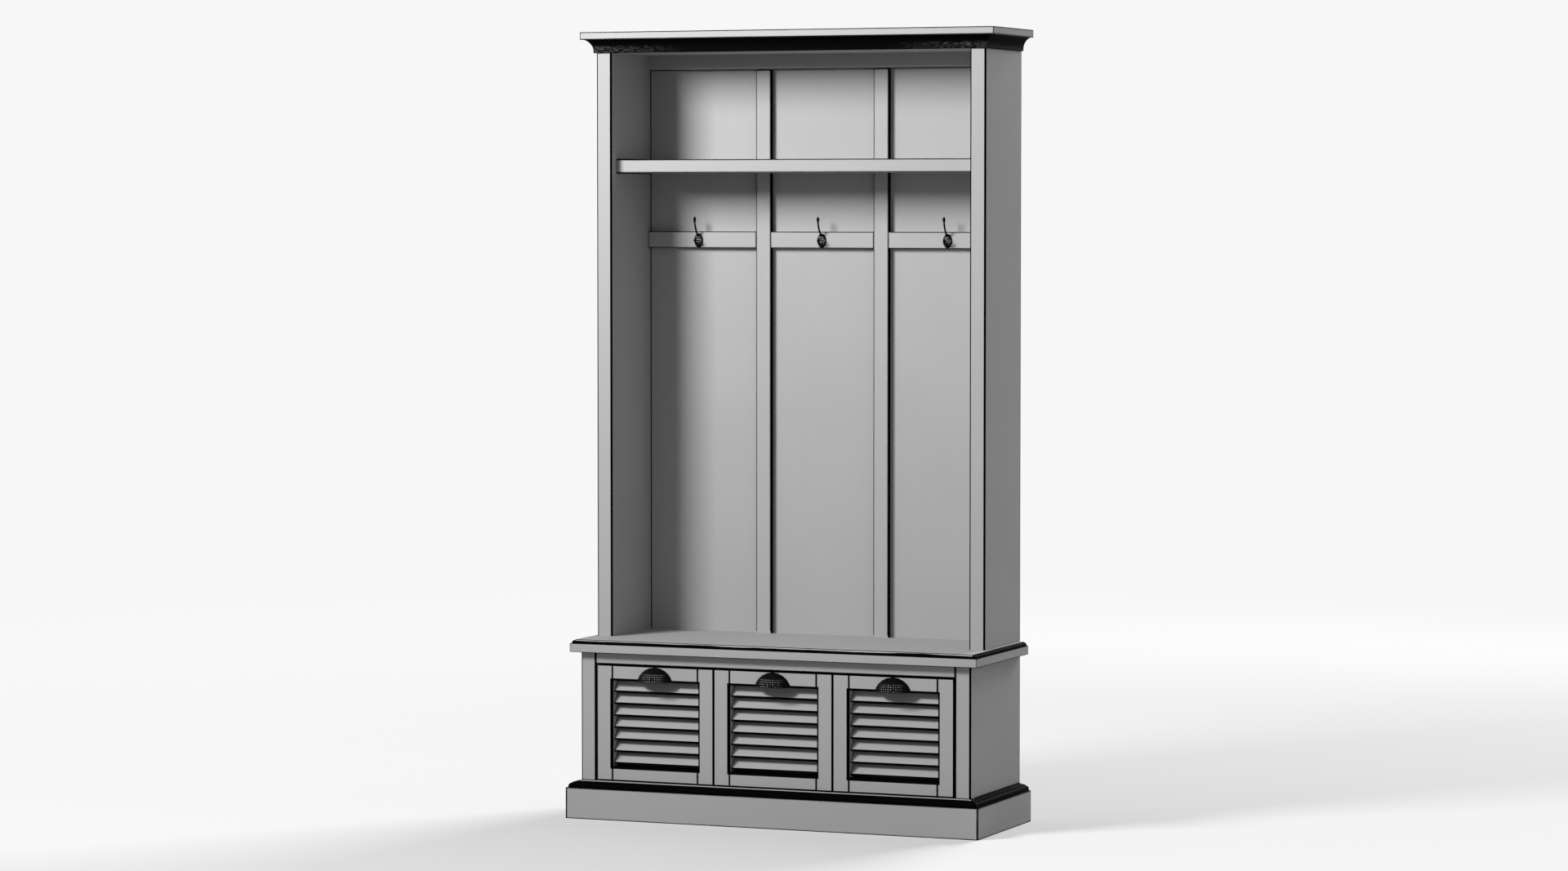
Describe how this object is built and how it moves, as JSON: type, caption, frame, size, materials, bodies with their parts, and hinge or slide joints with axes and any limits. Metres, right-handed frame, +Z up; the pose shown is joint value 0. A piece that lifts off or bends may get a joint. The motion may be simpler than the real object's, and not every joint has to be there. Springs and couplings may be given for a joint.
{
  "type": "hall stand",
  "caption": "Free-standing hall stand in painted wood: a bench with louvred drawers, under an open hutch with coat hooks, an upper shelf and a moulded cornice.",
  "frame": {"origin": "on the floor, at the middle of the stand's width and of its depth over the plinth", "axes": "+Z up, +X to the right as seen from the front, -Y towards the person in front of it"},
  "size_m": [1.119, 0.392, 2],
  "materials": {
    "grey_paint": "satin paint",
    "black_moulding": "satin paint",
    "birch": "clear lacquer",
    "black_iron": "black, satin",
    "steel_screws": "blackened"
  },
  "bodies": {
    "carcase": {"back_frame_mullion_left": "grey_paint", "back_frame_mullion_right": "grey_paint", "back_frame_top_rail": "grey_paint", "base_back_panel": "grey_paint", "base_floor_panel": "grey_paint", "base_partition_left": "grey_paint", "base_partition_right": "grey_paint", "base_side_left": "grey_paint", "base_side_right": "grey_paint", "base_stile_left": "grey_paint", "base_stile_right": "grey_paint", "base_top_rail": "grey_paint", "bench_top": "grey_paint", "coat_hook_centre": "black_iron", "coat_hook_left": "black_iron", "coat_hook_right": "black_iron", "cornice_cove_front": "black_moulding", "cornice_cove_left": "black_moulding", "cornice_cove_right": "black_moulding", "cornice_top_board": "grey_paint", "drawer_runners": "birch", "hook_rails": "grey_paint", "hook_screws": "steel_screws", "hutch_back_panel": "grey_paint", "hutch_ceiling_panel": "grey_paint", "hutch_head_rail": "grey_paint", "hutch_side_left": "grey_paint", "hutch_side_right": "grey_paint", "hutch_stile_left": "grey_paint", "hutch_stile_right": "grey_paint", "plinth_back": "grey_paint", "plinth_cap_back": "grey_paint", "plinth_cap_front": "black_moulding", "plinth_cap_left": "black_moulding", "plinth_cap_right": "black_moulding", "plinth_front": "grey_paint", "plinth_left": "grey_paint", "plinth_right": "grey_paint", "upper_shelf": "grey_paint"},
    "drawer_left": {"drawer_left_box_bottom": "birch", "drawer_left_box_ends": "birch", "drawer_left_box_sides": "birch", "drawer_left_cup_pull": "black_iron", "drawer_left_front_rails": "grey_paint", "drawer_left_front_stiles": "grey_paint", "drawer_left_louvre_slats": "grey_paint"},
    "drawer_centre": {"drawer_centre_box_bottom": "birch", "drawer_centre_box_ends": "birch", "drawer_centre_box_sides": "birch", "drawer_centre_cup_pull": "black_iron", "drawer_centre_front_rails": "grey_paint", "drawer_centre_front_stiles": "grey_paint", "drawer_centre_louvre_slats": "grey_paint"},
    "drawer_right": {"drawer_right_box_bottom": "birch", "drawer_right_box_ends": "birch", "drawer_right_box_sides": "birch", "drawer_right_cup_pull": "black_iron", "drawer_right_front_rails": "grey_paint", "drawer_right_front_stiles": "grey_paint", "drawer_right_louvre_slats": "grey_paint"}
  },
  "joints": [
    {"name": "drawer_left_slide", "type": "slide", "parent": "carcase", "child": "drawer_left", "axis": [0, -1, 0], "range_m": [0, 0.2]},
    {"name": "drawer_centre_slide", "type": "slide", "parent": "carcase", "child": "drawer_centre", "axis": [0, -1, 0], "range_m": [0, 0.2]},
    {"name": "drawer_right_slide", "type": "slide", "parent": "carcase", "child": "drawer_right", "axis": [0, -1, 0], "range_m": [0, 0.2]}
  ]
}
